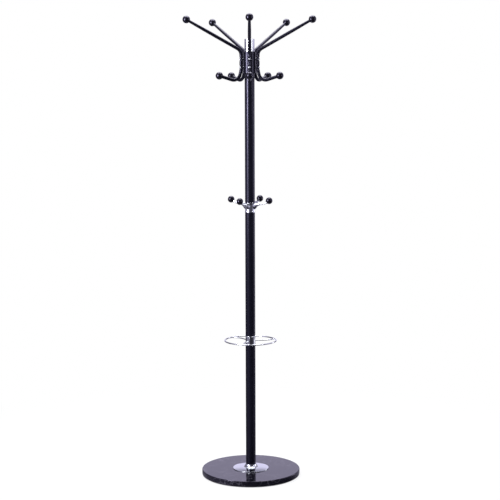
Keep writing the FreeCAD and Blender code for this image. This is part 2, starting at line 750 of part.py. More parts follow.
def press_screw_seats(body):
    """Press the outer wall in at both screws and drill the tube for them.

    The wall keeps its thickness: a lens of metal is added inside before the hollow is cut.
    """
    hollow_centre = SCREW_SEAT + " + Sizes.dimple_radius"
    backing = "(Sizes.dimple_radius + Sizes.arm_wall)"
    half_width = "Sizes.dimple_width_share * Sizes.arm_diameter / 2"
    flat = "sqrt((Sizes.arm_diameter / 2)^2 - (%s)^2)" % half_width
    face = "%s + %s - Sizes.dimple_sink" % (ARM_AXIS, flat)
    reach = "sqrt(%s^2 - (%s - (%s))^2)" % (backing, hollow_centre, face)
    for name, height in (("high", SCREW_HIGH), ("low", SCREW_LOW)):
        lens = new_sketch(body, name + "_lens", "XZ_Plane")
        points = [(face, "%s + %s" % (height, reach)), (face, "%s - %s" % (height, reach))]
        outline(lens, points, {0: (backing, 1)})
        pad(body, name + "_backing", lens, "2 * " + half_width, symmetric=True)
    hollows = new_sketch(body, "hollows", "XZ_Plane")
    circle(hollows, "high", "2 * Sizes.dimple_radius", hollow_centre, SCREW_HIGH)
    circle(hollows, "low", "2 * Sizes.dimple_radius", hollow_centre, SCREW_LOW)
    pocket(body, "pressed_hollows", hollows, "2 * Sizes.arm_diameter", symmetric=True)
    faces = new_sketch(body, "spot_faces", "YZ_Plane", ("0", "0", SCREW_SEAT))
    spot = "Sizes.screw_head + 2 * Sizes.spot_gap"
    circle(faces, "high", spot, "0", SCREW_HIGH)
    circle(faces, "low", spot, "0", SCREW_LOW)
    pocket(body, "spot_faced", faces, "Sizes.arm_diameter", reverse=True)
    drilled = new_sketch(body, "screw_holes", "YZ_Plane")
    size = "Sizes.screw_diameter + 2 * Sizes.screw_clearance"
    circle(drilled, "high", size, "0", SCREW_HIGH)
    circle(drilled, "low", size, "0", SCREW_LOW)
    pocket(body, "drilled", drilled, "3 * (%s)" % ARM_AXIS, reverse=True)


def make_arm(index):
    """Bent steel tube: a long leg up to a ball and a crook below, pressed at its screws."""
    turn = index * 360.0 / value("Sizes.arm_count")
    body = new_body("arm_%d" % (index + 1), HUB_MIDDLE, heading(turn))
    sweep(body, "upper_tube", arm_profile(body), upper_path(body))
    sweep(body, "lower_tube", arm_profile(body), lower_path(body))
    revolve(body, "drawn_end", taper_outline(body), "H_Axis")
    press_screw_seats(body)


def make_arm_balls(index):
    turn = index * 360.0 / value("Sizes.arm_count")
    make_ball(
        "arm_ball_%d" % (index + 1), HUB_MIDDLE, turn, "Sizes.arm_reach", "Sizes.arm_height",
        "Sizes.arm_rise", "Sizes.ball_diameter", "Sizes.arm_tip / 2 + Sizes.ball_gap",
        "-Sizes.ball_seat + Sizes.ball_gap",
    )
    make_ball(
        "crook_ball_%d" % (index + 1), HUB_MIDDLE, turn, "Sizes.low_reach", "Sizes.low_height",
        "Sizes.low_rise", "Sizes.ball_diameter", "Sizes.arm_diameter / 2 + Sizes.ball_gap",
        "-Sizes.ball_seat + Sizes.ball_gap",
    )


def at_every_screw(body, single):
    """Repeat a feature drawn at the lower screw for both heights and every arm."""
    rows = body.newObject("PartDesign::MultiTransform", "at_every_screw")
    rows.Originals = [single]
    upwards = doc.addObject("PartDesign::LinearPattern", "upwards")
    upwards.Direction = (origin_feature(body, "Z_Axis"), [""])
    upwards.Occurrences = 2
    upwards.setExpression("Length", "Sizes.screw_spacing")
    round_post = doc.addObject("PartDesign::PolarPattern", "round_post")
    round_post.Axis = (origin_feature(body, "Z_Axis"), [""])
    round_post.Angle = 360.0
    round_post.setExpression("Occurrences", "Sizes.arm_count")
    body.addObject(upwards)
    body.addObject(round_post)
    rows.Transformations = [upwards, round_post]
    body.Tip = rows


def make_arm_screws():
    """Chromed pan-head screws in the pressed seats, threaded through the hub sleeve."""
    body = new_body("arm_screws", HUB_MIDDLE, heading(0))
    sketch = new_sketch(body, "section", "XZ_Plane", ("0", SCREW_LOW, "0"))
    tip = SCREW_SEAT + " - Sizes.screw_length"
    shank = "Sizes.screw_diameter / 2"
    head = "Sizes.screw_head / 2"
    crown = SCREW_SEAT + " + Sizes.screw_head_height"
    side = SCREW_SEAT + " + Sizes.screw_side_share * Sizes.screw_head_height"
    points = [
        (tip, "0"),
        (crown, "0"),
        (side, head),
        (SCREW_SEAT, head),
        (SCREW_SEAT, shank),
        (tip + " + Sizes.screw_point", shank),
        (tip, shank + " - Sizes.screw_point"),
    ]
    outline(sketch, points, {1: ("Sizes.screw_crown_share * Sizes.screw_head", 1)})
    single = revolve(body, "screw", sketch, "H_Axis")
    at_every_screw(body, single)


def make_arm_spacers():
    """Chromed bushes that hold the arms clear of the hub sleeve."""
    body = new_body("arm_spacers", HUB_MIDDLE, heading(0))
    sketch = new_sketch(body, "section", "YZ_Plane", ("0", SCREW_LOW, HUB_DIAMETER + " / 2"))
    circle(sketch, "outside", "Sizes.spacer_diameter")
    circle(sketch, "inside", "Sizes.screw_diameter + 2 * Sizes.screw_clearance")
    single = pad(body, "spacer", sketch, "Sizes.spacer_length")
    at_every_screw(body, single)


# ---------------------------------------------------------------- top


def make_top_coupler():
    """Plug that carries the chromed top tube on the end of the post."""
    body = new_body("top_coupler", UPPER_TOP + " - Sizes.coupler_half")
    disc(body, "coupler", PLUG_DIAMETER, "2 * Sizes.coupler_half", THREAD_HOLE)


def make_top_tube():
    body = new_body("top_tube", UPPER_TOP)
    disc(body, "tube", "Sizes.post_diameter", "Sizes.top_length", POST_BORE)


def make_top_cap():
    """Cap with a rounded rim and a skirt that grips the inside of the top tube."""
    body = new_body("top_cap", UPPER_TOP + " + Sizes.top_length")
    sketch = new_sketch(body, "section", "XZ_Plane")
    rim = "Sizes.post_diameter / 2"
    skirt = "(%s) / 2" % PLUG_DIAMETER
    points = [
        ("0", "0"),
        (skirt + " - Sizes.post_wall", "0"),
        (skirt + " - Sizes.post_wall", "-Sizes.cap_skirt"),
        (skirt, "-Sizes.cap_skirt"),
        (skirt, "0"),
        (rim, "0"),
        (rim, "Sizes.cap_thickness - Sizes.cap_edge"),
        (rim + " - Sizes.cap_edge", "Sizes.cap_thickness"),
        ("0", "Sizes.cap_thickness"),
    ]
    outline(sketch, points, {6: ("Sizes.cap_edge", 1)})
    revolve(body, "cap", sketch)


def make_all():
    make_felt()
    make_stone()
    make_base_bolt()
    make_base_washer()
    make_base_cover()
    make_foot_plug()
    make_tube("post_lower_tube", STONE_TOP, "Sizes.lower_length")
    make_end_plug("lower_top_plug", LOWER_TOP, True)
    make_stud("lower_stud", LOWER_TOP, "Sizes.umbrella_collar_height")
    make_umbrella_collar()
    make_umbrella_ring()
    for index in range(int(value("Sizes.spoke_count"))):
        make_spoke(index)
    make_end_plug("middle_bottom_plug", MIDDLE_BOTTOM, False)
    make_tube("post_middle_tube", MIDDLE_BOTTOM, "Sizes.middle_length")
    make_end_plug("middle_top_plug", MIDDLE_TOP, True)
    make_stud("upper_stud", MIDDLE_TOP, "Sizes.hook_collar_height")
    make_hook_collar()
    for index in range(int(value("Sizes.hook_count"))):
        make_hook_ball(index)
    make_end_plug("upper_bottom_plug", UPPER_BOTTOM, False)
    make_upper_tube()
    make_hub()
    for index in range(int(value("Sizes.arm_count"))):
        make_arm(index)
        make_arm_balls(index)
    make_arm_spacers()
    make_arm_screws()
    make_top_coupler()
    make_top_tube()
    make_top_cap()


def check_document():
    """Stop if any object failed or any piece has no sound solid."""
    for item in doc.Objects:
        bad = [state for state in item.State if state in ("Invalid", "Error")]
        if bad:
            raise RuntimeError("%s is %s" % (item.Label, bad))
    for body in doc.findObjects("PartDesign::Body"):
        if body.Shape.isNull() or not body.Shape.isValid() or not body.Shape.Solids:
            raise RuntimeError(body.Label + " has no valid solid")


def write_pieces():
    os.makedirs("parts", exist_ok=True)
    for body in doc.findObjects("PartDesign::Body"):
        body.Shape.exportStep(os.path.join("parts", body.Label + ".step"))


make_all()
doc.recompute()
check_document()
write_pieces()
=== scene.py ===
import math

import bpy
import numpy as np
from mathutils import Matrix, Vector


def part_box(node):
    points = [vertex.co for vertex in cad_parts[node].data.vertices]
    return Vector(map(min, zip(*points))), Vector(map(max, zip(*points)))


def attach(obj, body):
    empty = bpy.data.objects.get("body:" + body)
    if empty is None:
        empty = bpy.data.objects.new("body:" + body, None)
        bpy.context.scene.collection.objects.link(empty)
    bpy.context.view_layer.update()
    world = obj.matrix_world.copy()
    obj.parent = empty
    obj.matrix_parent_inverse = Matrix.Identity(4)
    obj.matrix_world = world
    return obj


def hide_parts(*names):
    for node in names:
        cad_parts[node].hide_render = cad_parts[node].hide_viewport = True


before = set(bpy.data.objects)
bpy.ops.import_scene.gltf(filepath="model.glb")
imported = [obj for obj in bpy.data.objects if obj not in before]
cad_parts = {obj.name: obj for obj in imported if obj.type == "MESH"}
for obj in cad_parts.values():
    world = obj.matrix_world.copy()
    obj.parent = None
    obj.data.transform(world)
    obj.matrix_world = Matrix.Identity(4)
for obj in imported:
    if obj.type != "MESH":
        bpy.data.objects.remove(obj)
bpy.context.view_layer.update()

# Standing coat rack with a polished stone foot. Lengths in this script are millimetres
# until a piece is made; azimuth 0 is the front, and positive azimuths turn to the right.
MM = 0.001

# ------------------------------------------------------------------ sizes of the pieces

ROUND_FINE = 128        # facets round the post, collars and stone
ROUND_WIRE = 40         # facets round an arm or a wire
POST_BORE = 17.8
COLLAR_BORE = 12.0
STONE_EDGE = 3.0
BOLT_HOLE = 5.5
RECESS_RADIUS = 17.0
RECESS_DEPTH = 10.0

COVER_SHEET = 1.0
COVER_RIM = 2.4
COVER_DOME = 7.0
COVER_FLARE = 29.0
COVER_DOME_RADIUS = 220.0
COVER_FLARE_RADIUS = 14.0
COVER_NECK = 19.3
COVER_TURN_IN = 0.8     # how far the sheet's inside turns in and down, as shares of its
COVER_TURN_DOWN = 0.9   # thickness, where the dome meets the flare
COVER_LIP = 0.15
COVER_STEPS = 40

COLLAR_EDGE = 1.2
COLLAR_WAIST = 0.6
RING_WIRE = 5.0
SPOKE_WIRE = 4.4
SPOKE_TURN = -139.0
SPOKE_COUNT = 3
SPOKE_ROOT = 16.5
SPOKE_STRAIGHT = 28.0
SPOKE_BEND = 60.0
SPOKE_SWING = 14.0

HOOK_TURN = -27.9
HOOK_COUNT = 4
HOOK_REACH = 81.9
HOOK_HEIGHT = 47.8
HOOK_LEAN = 33.0
HOOK_BALL = 13.0
HOOK_PEG = 3.0
HOOK_STAND = 0.6
HOOK_PEG_LENGTH = 10.0
HOOK_COLLAR_RADIUS = 19.4
HORN_TIP = 3.7
HORN_ROWS = 56
# Reach, height, half depth and half width of a horn at stations from its root outwards.
HORN_STATIONS = (
    (16.0, 24.4, 13.4, 9.4), (20.0, 26.2, 11.4, 7.6), (26.0, 29.8, 8.6, 5.9),
    (34.0, 33.0, 6.7, 5.1), (44.0, 35.0, 5.4, 4.6), (54.0, 36.0, 4.5, 4.2),
    (63.0, 37.6, 3.9, 3.9),
)

ARM_COUNT = 5
ARM_RADIUS = 6.35
ARM_AXIS = 33.45
ARM_REACH = 245.9
ARM_HEIGHT = 157.5
ARM_RISE = 28.08
ARM_BEND = 27.0
ARM_TAPER = 92.0
ARM_TIP = 5.2
LOW_REACH = 119.2
LOW_HEIGHT = -49.7
LOW_RISE = 17.0
LOW_BEND = 26.0
LOW_SWEEP = 100.0
LOW_SWEEP_START = -17.0
BALL = 14.3
BALL_SEAT = 4.0
BALL_GAP = 0.15
BALL_POLE = 0.04        # angle left open at the far pole, closed by a fan
SOCKET_POLE = 0.4
SOCKET_MOUTH = 0.25
SOCKET_EASE = 0.3

HUB_EDGE = 2.0
HUB_BORE = 19.2
SCREW_HEIGHTS = (12.55, -18.95)
SEAT_DEPTH = 2.6
SEAT_FLAT = 4.5
SEAT_FLANK = 4.0
SEAT_SOFTNESS = 0.5
SCREW_HEAD = 4.3
SCREW_HEAD_HEIGHT = 3.0
SCREW_SIDE = 0.9
SCREW_SHANK = 2.5
SCREW_LENGTH = 20.5
SOCKET_FLAT = 1.5
SOCKET_DEPTH = 1.6
SCREW_POLE = 0.05       # radius left open at each end, closed by a fan
SCREW_POINT = 0.7
SCREW_POINT_RADIUS = 1.8
SPACER_RADIUS = 4.75
SPACER_BORE = 2.9
SPACER_LENGTH = 3.1
CAP_EDGE = 0.8
CAP_SKIRT = 9.0
CAP_SHEET = 1.2
CAP_GAP = 0.1


def span(cad_name):
    """Lowest height, highest height and widest radius of a CAD node, in millimetres."""
    low, high = (np.array(corner, float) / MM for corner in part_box(cad_name))
    return low[2], high[2], float(max(high[0], -low[0]))


# ------------------------------------------------------------------ outlines in a plane


def arc(start, end, radius, side, steps=24):
    """Points on the arc between two points: centre = middle of the chord + normal * rise."""
    start, end = np.array(start, float), np.array(end, float)
    chord = end - start
    length = np.hypot(*chord)
    left = np.array([-chord[1], chord[0]]) / length
    rise = math.sqrt(max(radius ** 2 - (length / 2) ** 2, 0.0))
    centre = (start + end) / 2 + left * rise * side
    begin = np.arctan2(*(start - centre)[::-1])
    last = np.arctan2(*(end - centre)[::-1])
    turn = (last - begin) % (2 * math.pi) if side > 0 else -((begin - last) % (2 * math.pi))
    angle = begin + turn * np.linspace(0, 1, steps)
    return centre + radius * np.stack([np.cos(angle), np.sin(angle)], 1)


def eased(corners, steps=6, support=0.5):
    """Outline through (x, y, ease) corners, each rounded off over its own length.

    A corner is the parabola (1-t)^2 A + 2t(1-t) C + t^2 B between the points A and B that lie
    one ease from it. Extra points close to each rounding keep the long runs evenly shaded.
    """
    points = np.array([corner[:2] for corner in corners], float)
    out = []
    t = np.linspace(0, 1, steps)[:, None]
    for index, (*_, ease) in enumerate(corners):
        here = points[index]
        if ease <= 0:
            out.append(here[None])
            continue
        back = points[index - 1] - here
        ahead = points[(index + 1) % len(points)] - here
        back_length, ahead_length = np.hypot(*back), np.hypot(*ahead)
        a = here + back / back_length * ease
        b = here + ahead / ahead_length * ease
        curve = (1 - t) ** 2 * a + 2 * t * (1 - t) * here + t ** 2 * b
        before = here + back / back_length * min(ease + support, 0.45 * back_length)
        after = here + ahead / ahead_length * min(ease + support, 0.45 * ahead_length)
        out.append(np.concatenate([before[None], curve, after[None]]))
    return np.concatenate(out)


def smooth_through(t, knots, values):
    """Curve through knots: Hermite pieces whose slopes are the mean slopes either side."""
    knots, values = np.array(knots, float), np.array(values, float)
    slopes = np.gradient(values, knots)
    index = np.clip(np.searchsorted(knots, t, "right") - 1, 0, len(knots) - 2)
    width = knots[index + 1] - knots[index]
    s = (t - knots[index]) / width
    return (
        (2 * s ** 3 - 3 * s ** 2 + 1) * values[index]
        + (s ** 3 - 2 * s ** 2 + s) * width * slopes[index]
        + (3 * s ** 2 - 2 * s ** 3) * values[index + 1]
        + (s ** 3 - s ** 2) * width * slopes[index + 1]
    )


def line(start, end, spacing):
    """Evenly spaced points on the straight run from start to end."""
    start, end = np.array(start, float), np.array(end, float)
    count = max(2, int(round(np.linalg.norm(end - start) / spacing)) + 1)
    return start + (end - start) * np.linspace(0, 1, count)[:, None]


def chain(*runs):
    """Runs of points joined end to end, with the doubled joints left out."""
    return np.concatenate([runs[0]] + [run[1:] for run in runs[1:]])


# ------------------------------------------------------------------ surfaces


def to_azimuth(local, azimuth, height=0.0):
    """(radial, tangential, up) carried round: x = r sin a + t cos a, y = t sin a - r cos a."""
    a = math.radians(azimuth)
    r, t, z = local[..., 0], local[..., 1], local[..., 2]
    return np.stack(
        [r * math.sin(a) + t * math.cos(a), t * math.sin(a) - r * math.cos(a), z + height], -1
    )


def shell(grid, ring=False):
    """Closed skin over a grid of points, rows by columns, facing outwards.

    Columns join up. Rows join up too in a ring; otherwise the first and last rows end in a
    fan about their middles. The sign of sum(a . (b x c)) / 6 over its faces turns it outwards.
    """
    rows, columns = grid.shape[:2]
    r, c = np.meshgrid(np.arange(rows if ring else rows - 1), np.arange(columns), indexing="ij")
    r2, c2 = (r + 1) % rows, (c + 1) % columns
    quads = np.stack([r * columns + c, r2 * columns + c, r2 * columns + c2, r * columns + c2], -1)
    quads = quads.reshape(-1, 4)
    vertices = grid.reshape(-1, 3)
    fans = np.zeros((0, 3), int)
    if not ring:
        vertices = np.concatenate([vertices, grid[:1].mean(1), grid[-1:].mean(1)])
        first, last = rows * columns, rows * columns + 1
        c = np.arange(columns)
        c2 = (c + 1) % columns
        base = (rows - 1) * columns
        near = np.stack([np.full(columns, first), c, c2], 1)
        far = np.stack([np.full(columns, last), base + c2, base + c], 1)
        fans = np.concatenate([near, far])
    corners = np.concatenate([quads[:, [0, 1, 2]], quads[:, [0, 2, 3]], fans])
    a, b, d = (vertices[corners[:, k]] for k in range(3))
    if np.einsum("ij,ij->i", a, np.cross(b, d)).sum() < 0:
        quads, fans = quads[:, ::-1], fans[:, ::-1]
    return vertices, quads, fans


def turned(outline, columns=ROUND_FINE, ring=True):
    """Outline (radius, height) spun about the post: x = r cos a, y = r sin a, z = h."""
    angle = np.linspace(0, 2 * math.pi, columns, endpoint=False)
    r, h = outline[:, :1], outline[:, 1:]
    grid = np.stack([r * np.cos(angle), r * np.sin(angle), h + 0 * angle], -1)
    return shell(grid, ring)


def turned_on(outline, middle, direction, columns=48):
    """Outline (along, out) spun about an axis: middle + along * axis + out * (cos, sin)."""
    axis = np.array(direction, float) / np.linalg.norm(direction)
    side = np.cross(axis, [0, 0, 1.0] if abs(axis[2]) < 0.9 else [1.0, 0, 0])
    side /= np.linalg.norm(side)
    other = np.cross(axis, side)
    angle = np.linspace(0, 2 * math.pi, columns, endpoint=False)
    around = np.cos(angle)[:, None] * side + np.sin(angle)[:, None] * other
    along, out = outline[:, 0], outline[:, 1]
    return middle + along[:, None, None] * axis + out[:, None, None] * around


def carried(path, outward, across):
    """Surface round a path in the radial plane: point = path + normal * outward + side * across.

    The normal is the path's slope turned a quarter, and side points along the post's tangent.
    """
    slope = np.gradient(path, axis=0)
    slope /= np.linalg.norm(slope, axis=1)[:, None]
    normal = np.stack([-slope[:, 1], slope[:, 0]], 1)
    flat = path[:, None] + normal[:, None] * outward[..., None]
    return np.stack([flat[..., 0], across + 0 * flat[..., 0], flat[..., 1]], -1)


def swept(path, deep, wide, columns=ROUND_WIRE):
    """Oval section carried along a path: outward = deep * cos a, across = wide * sin a."""
    angle = np.linspace(0, 2 * math.pi, columns, endpoint=False)
    return carried(path, deep * np.cos(angle), wide * np.sin(angle))


def piece(name, shells, coat, nodes, sharp=38.0):
    """One finished object from closed skins, in place of the CAD nodes named."""
    vertices, faces, first = [], [], 0
    for points, quads, fans in shells:
        vertices.append(points)
        faces += (quads + first).tolist() + (fans + first).tolist()
        first += len(points)
    mesh = bpy.data.meshes.new(name)
    mesh.from_pydata((np.concatenate(vertices) * MM).tolist(), [], faces)
    mesh.shade_smooth()
    mesh.set_sharp_from_angle(angle=math.radians(sharp))
    mesh.materials.append(coat)
    made = bpy.data.objects.new(name, mesh)
    bpy.context.scene.collection.objects.link(made)
    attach(made, "root")
    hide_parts(*nodes)
    return made


# ------------------------------------------------------------------ finishes


def linear(hex_colour):
    """sRGB hex to linear RGBA: c / 12.92 below 0.04045, else ((c + 0.055) / 1.055)^2.4."""
    channels = np.array([int(hex_colour[i:i + 2], 16) for i in (1, 3, 5)]) / 255
    low, high = channels / 12.92, ((channels + 0.055) / 1.055) ** 2.4
    return (*np.where(channels <= 0.04045, low, high).tolist(), 1.0)


def per(size):
    """Pattern scale whose features are about this many millimetres wide."""
    return 1 / (size * MM)


def node(tree, kind, settings=None, **inputs):
    """One node with its settings. An input is a value or the output socket that feeds it;
    an underscore in its name stands for a space, and in0 to in9 pick a socket by number."""
    made = tree.nodes.new(kind)
    for key, setting in (settings or {}).items():
        setattr(made, key, setting)
    for key, fed in inputs.items():
        numbered = key[:2] == "in" and key[2:].isdigit()
        socket = made.inputs[int(key[2:]) if numbered else key.replace("_", " ")]
        if isinstance(fed, bpy.types.NodeSocket):
            tree.links.new(fed, socket)
        else:
            socket.default_value = fed
    return made


def finish(name):
    """A material whose node tree is still empty, and that tree."""
    made = bpy.data.materials.new(name)
    made.use_nodes = True
    made.node_tree.nodes.clear()
    return made, made.node_tree


def close(tree, shader):
    """Feed a shader to the material's surface."""
    node(tree, "ShaderNodeOutputMaterial", Surface=shader.outputs[0])


def gloss_powder_coat():
    """Gloss black polyester powder coat, stoved on steel tube.

    The eye sees a deep blue-black with soft-edged highlights, because the powder flows out to
    a faint orange peel about 4 mm across.
    """
    made, tree = finish("gloss_black_powder_coat")
    where = node(tree, "ShaderNodeTexCoord").outputs["Object"]
    cloud = node(tree, "ShaderNodeTexNoise", Vector=where, Scale=per(60), Detail=3.0)
    colour = node(
        tree, "ShaderNodeMix", {"data_type": "RGBA"}, in0=cloud.outputs[0],
        in6=linear("#0a0a12"), in7=linear("#10101a"),
    )
    rough = node(
        tree, "ShaderNodeMapRange", Value=cloud.outputs[0], To_Min=0.18, To_Max=0.24
    )
    peel = node(tree, "ShaderNodeTexNoise", Vector=where, Scale=per(4), Detail=1.0)
    bump = node(
        tree, "ShaderNodeBump", Height=peel.outputs[0], Strength=0.3, Distance=0.004 * MM
    )
    close(tree, node(
        tree, "ShaderNodeBsdfPrincipled", Base_Color=colour.outputs[2],
        Roughness=rough.outputs[0], Normal=bump.outputs[0], IOR=1.42,
        Specular_Tint=linear("#dfdcff"),
    ))
    return made


def chrome_plate():
    """Bright chromium plate over polished nickel, on turned and cast steel.

    The eye sees a slightly blue mirror; buffing leaves it a trace softer in patches about
    15 mm across, so reflections are not perfectly even.
    """
    made, tree = finish("bright_chrome_plate")
    where = node(tree, "ShaderNodeTexCoord").outputs["Object"]
    haze = node(tree, "ShaderNodeTexNoise", Vector=where, Scale=per(15), Detail=4.0)
    colour = node(
        tree, "ShaderNodeMix", {"data_type": "RGBA"}, in0=haze.outputs[0],
        in6=linear("#d6dadc"), in7=linear("#e4e8e8"),
    )
    rough = node(
        tree, "ShaderNodeMapRange", Value=haze.outputs[0], To_Min=0.05, To_Max=0.11
    )
    close(tree, node(
        tree, "ShaderNodeBsdfPrincipled", Base_Color=colour.outputs[2],
        Roughness=rough.outputs[0], Metallic=1.0,
    ))
    return made


def moulded_ball():
    """Gloss black phenolic ball, moulded and tumbled bright.

    The eye sees a plain deep black with crisp round highlights and a very slight softness
    from tumbling, finer than a millimetre.
    """
    made, tree = finish("gloss_black_moulded_phenolic")
    where = node(tree, "ShaderNodeTexCoord").outputs["Object"]
    grain = node(tree, "ShaderNodeTexNoise", Vector=where, Scale=per(1.2), Detail=2.0)
    rough = node(
        tree, "ShaderNodeMapRange", Value=grain.outputs[0], To_Min=0.06, To_Max=0.14
    )
    colour = node(
        tree, "ShaderNodeMix", {"data_type": "RGBA"}, in0=grain.outputs[0],
        in6=linear("#08080c"), in7=linear("#0d0d13"),
    )
    close(tree, node(
        tree, "ShaderNodeBsdfPrincipled", Base_Color=colour.outputs[2],
        Roughness=rough.outputs[0], IOR=1.54, Specular_Tint=linear("#e4e0ff"),
    ))
    return made


def polished_stone():
    """Polished black marble disc, sawn and ground flat, with a few thin grey veins.

    The eye sees a mirror-flat lavender sheen at a low angle over near-black stone, broken by
    faint cloudy patches 30 mm across, thin wandering veins and grey grains about 2 mm wide.
    """
    made, tree = finish("polished_black_marble")
    where = node(tree, "ShaderNodeTexCoord").outputs["Object"]
    cloud = node(tree, "ShaderNodeTexNoise", Vector=where, Scale=per(30), Detail=6.0)
    warp = node(tree, "ShaderNodeTexNoise", Vector=where, Scale=per(55), Detail=5.0)
    vein_line = node(
        tree, "ShaderNodeMath", {"operation": "SUBTRACT"}, in0=warp.outputs[0], in1=0.5
    )
    vein_width = node(
        tree, "ShaderNodeMath", {"operation": "ABSOLUTE"}, in0=vein_line.outputs[0]
    )
    vein = node(
        tree, "ShaderNodeMapRange", Value=vein_width.outputs[0], From_Min=0.0, From_Max=0.012,
        To_Min=0.5, To_Max=0.0,
    )
    patchy = node(
        tree, "ShaderNodeMath", {"operation": "MULTIPLY"}, in0=vein.outputs[0],
        in1=cloud.outputs[0],
    )
    grains = node(tree, "ShaderNodeTexVoronoi", Vector=where, Scale=per(4.5))
    fleck = node(
        tree, "ShaderNodeMapRange", Value=grains.outputs["Distance"], From_Min=0.08,
        From_Max=0.2, To_Min=0.22, To_Max=0.0,
    )
    ground = node(
        tree, "ShaderNodeMix", {"data_type": "RGBA"}, in0=cloud.outputs[0],
        in6=linear("#0b0a10"), in7=linear("#16151d"),
    )
    flecked = node(
        tree, "ShaderNodeMix", {"data_type": "RGBA"}, in0=fleck.outputs[0],
        in6=ground.outputs[2], in7=linear("#4d4a58"),
    )
    veined = node(
        tree, "ShaderNodeMix", {"data_type": "RGBA"}, in0=patchy.outputs[0],
        in6=flecked.outputs[2], in7=linear("#8b8896"),
    )
    rough = node(
        tree, "ShaderNodeMapRange", Value=cloud.outputs[0], To_Min=0.05, To_Max=0.12
    )
    close(tree, node(
        tree, "ShaderNodeBsdfPrincipled", Base_Color=veined.outputs[2],
        Roughness=rough.outputs[0], IOR=1.5, Specular_Tint=linear("#e9e2ff"),
    ))
    return made


def pressed_felt():
    """Pressed wool felt, dark grey, glued under the stone.

    The eye sees a matt edge with short tangled fibres, drawn 1.5 mm long so they show.
    """
    made, tree = finish("dark_pressed_felt")
    where = node(tree, "ShaderNodeTexCoord").outputs["Object"]
    fibre = node(
        tree, "ShaderNodeTexNoise", Vector=where, Scale=per(1.5), Detail=6.0, Distortion=1.5
    )
    colour = node(
        tree, "ShaderNodeMix", {"data_type": "RGBA"}, in0=fibre.outputs[0],
        in6=linear("#131318"), in7=linear("#2a2a31"),
    )
    bump = node(
        tree, "ShaderNodeBump", Height=fibre.outputs[0], Strength=0.6, Distance=0.3 * MM
    )
    close(tree, node(
        tree, "ShaderNodeBsdfPrincipled", Base_Color=colour.outputs[2], Roughness=0.95,
        Normal=bump.outputs[0], Sheen_Weight=0.3,
    ))
    return made


def zinc_plate():
    """Bright zinc plate on machined steel, as on plugs, studs and washers.

    The eye sees a pale blue-grey metal with satin patches 4 mm across.
    """
    made, tree = finish("zinc_plated_steel")
    where = node(tree, "ShaderNodeTexCoord").outputs["Object"]
    spangle = node(tree, "ShaderNodeTexVoronoi", Vector=where, Scale=per(4))
    rough = node(
        tree, "ShaderNodeMapRange", Value=spangle.outputs["Distance"], To_Min=0.28, To_Max=0.42
    )
    colour = node(
        tree, "ShaderNodeMix", {"data_type": "RGBA"}, in0=spangle.outputs["Distance"],
        in6=linear("#aab0b8"), in7=linear("#c2c6cc"),
    )
    close(tree, node(
        tree, "ShaderNodeBsdfPrincipled", Base_Color=colour.outputs[2],
        Roughness=rough.outputs[0], Metallic=1.0,
    ))
    return made


black_coat = gloss_powder_coat()
chrome = chrome_plate()
ball_finish = moulded_ball()
marble = polished_stone()
felt = pressed_felt()
zinc = zinc_plate()

# ------------------------------------------------------------------ foot


def make_foot():
    """Felt, stone with its bolt recess, and the spun cover over the bolt hole."""
    low, high, radius = span("base_felt")
    outline = eased([(0, low, 0), (radius, low, 0.3), (radius, high, 0.3), (0, high, 0)])
    piece("felt_pad", [turned(outline[:-1], ring=False)], felt, ["base_felt"])
    low, high, radius = span("base_stone")
    step = low + RECESS_DEPTH
    outline = eased([
        (RECESS_RADIUS, low, 0.4), (radius, low, STONE_EDGE), (radius, high, STONE_EDGE),
        (BOLT_HOLE, high, 0.3), (BOLT_HOLE, step, 0.3), (RECESS_RADIUS, step, 0.3),
    ], steps=8)
    piece("stone_disc", [turned(outline, 192)], marble, ["base_stone"])
    low, high, radius = span("base_cover")
    crest = (COVER_FLARE, low + COVER_DOME)
    inner_crest = (COVER_FLARE - COVER_TURN_IN * COVER_SHEET,
                   low + COVER_DOME - COVER_TURN_DOWN * COVER_SHEET)
    dome = arc((radius - 0.5, low + COVER_RIM), crest, COVER_DOME_RADIUS, 1, COVER_STEPS)
    flare = arc(crest, (COVER_NECK + COVER_SHEET, high - COVER_LIP), COVER_FLARE_RADIUS, -1,
                COVER_STEPS)
    inner_flare = arc((COVER_NECK, high - COVER_LIP), inner_crest,
                      COVER_FLARE_RADIUS + COVER_SHEET, 1, COVER_STEPS)
    inner_dome = arc(inner_crest, (radius - COVER_SHEET, low + COVER_RIM - COVER_SHEET),
                     COVER_DOME_RADIUS - COVER_SHEET, -1, COVER_STEPS)
    rim = eased([
        (radius - COVER_SHEET, low + 0.3, 0), (radius - COVER_SHEET, low, 0.15),
        (radius, low, 0.2), (radius, low + COVER_RIM, 0.5),
        (radius - 1.2, low + COVER_RIM + 0.15, 0),
    ])
    lip = np.array([[COVER_NECK + 0.8, high], [COVER_NECK + 0.2, high]])
    outline = np.concatenate([rim[1:-1], dome[2:], flare[1:], lip, inner_flare, inner_dome[1:]])
    piece("spun_cover", [turned(outline, 192)], chrome, ["base_cover"])


# ------------------------------------------------------------------ post


